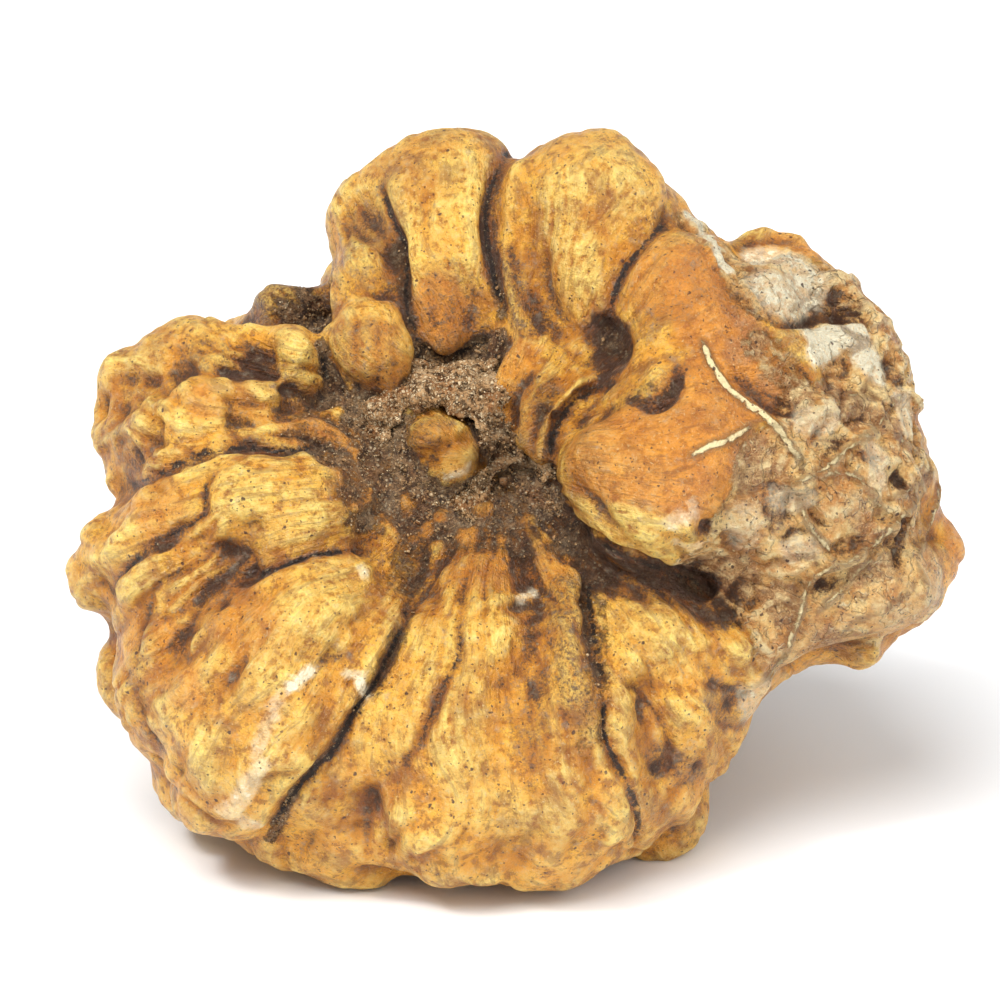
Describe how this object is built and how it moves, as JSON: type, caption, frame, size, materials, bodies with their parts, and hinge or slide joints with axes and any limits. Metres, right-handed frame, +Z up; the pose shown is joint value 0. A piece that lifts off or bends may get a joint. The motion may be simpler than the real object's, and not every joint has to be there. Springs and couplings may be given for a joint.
{
  "type": "white truffle",
  "caption": "Whole lobed, knobbly white truffle with earth caught in its central hollow, resting on a small flat spot.",
  "frame": {"origin": "centre of the truffle's box at the height of the surface it rests on", "axes": "+Z up, +X along the widest way across the truffle, -Y the side with the hollow"},
  "size_m": [0.089, 0.0692, 0.0686],
  "materials": {
    "skin": "satin",
    "earth": "matte"
  },
  "bodies": {
    "root": {"truffle": "skin", "hollow_earth": "earth", "pit_earth": "earth"}
  },
  "joints": []
}
